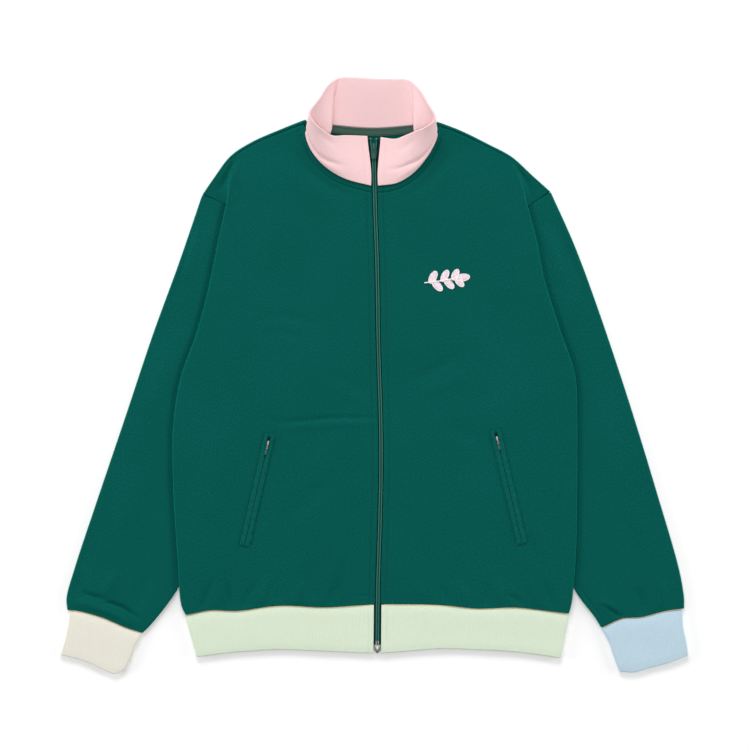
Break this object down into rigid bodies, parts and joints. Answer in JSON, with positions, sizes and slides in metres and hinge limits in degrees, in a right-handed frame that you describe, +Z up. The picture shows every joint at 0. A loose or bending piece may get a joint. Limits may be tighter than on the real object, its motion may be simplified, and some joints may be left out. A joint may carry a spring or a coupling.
{
  "type": "track jacket laid flat",
  "caption": "Zipped stand-collar track jacket laid flat, front up, with slanted zip pockets, rib cuffs and hem band, a chest motif and turning pull tabs.",
  "frame": {"origin": "on the table under the middle of the laid-out jacket, at the centre of its bounding box's bottom", "axes": "+X to the wearer's left, +Y towards the collar, +Z up from the table, out of the jacket's front"},
  "size_m": [0.8284, 0.7861, 0.0332],
  "materials": {
    "green_knit": "smooth double knit, matt",
    "pink_knit": "smooth double knit, matt",
    "mint_rib": "fine rib knit, matt",
    "cream_rib": "fine rib knit, matt",
    "blue_rib": "fine rib knit, matt",
    "green_tape": "twill tape",
    "green_coil": "nylon zip coil and tape",
    "green_paint": "painted zip slider",
    "zip_metal": "bright nickel",
    "motif_thread": "satin-stitch embroidery"
  },
  "bodies": {
    "jacket": {"front_right": "green_knit", "front_left": "green_knit", "back": "green_knit", "sleeve_right": "green_knit", "sleeve_left": "green_knit", "cuff_right": "cream_rib", "cuff_left": "blue_rib", "hem_band": "mint_rib", "collar": "pink_knit", "neck_tape": "green_tape", "chest_motif": "motif_thread", "zip_slider": "green_paint", "zip_box": "zip_metal", "zip_tape_right": "green_coil", "zip_tape_left": "green_coil", "zip_stop_right": "zip_metal", "zip_stop_left": "zip_metal", "pocket_lip_inner_right": "green_knit", "pocket_lip_outer_right": "green_knit", "pocket_lip_inner_left": "green_knit", "pocket_lip_outer_left": "green_knit", "pocket_coil_right": "green_coil", "pocket_coil_left": "green_coil", "pocket_slider_right": "green_paint", "pocket_slider_left": "green_paint"},
    "main_pull": {"zip_pull": "green_paint"},
    "right_pocket_pull": {"pocket_pull_right": "zip_metal"},
    "left_pocket_pull": {"pocket_pull_left": "zip_metal"}
  },
  "joints": [
    {"name": "main_pull_flip", "type": "hinge", "parent": "jacket", "child": "main_pull", "pos_m": [-0.00049, 0.2945, 0.0091], "axis": [1, 0, 0], "range_deg": [0, 160]},
    {"name": "right_pocket_pull_flip", "type": "hinge", "parent": "jacket", "child": "right_pocket_pull", "pos_m": [-0.14141, -0.09692, 0.0087], "axis": [0.9749, -0.2228, 0], "range_deg": [0, 150]},
    {"name": "left_pocket_pull_flip", "type": "hinge", "parent": "jacket", "child": "left_pocket_pull", "pos_m": [0.16354, -0.09088, 0.0088], "axis": [0.9729, 0.2313, 0], "range_deg": [0, 150]}
  ]
}
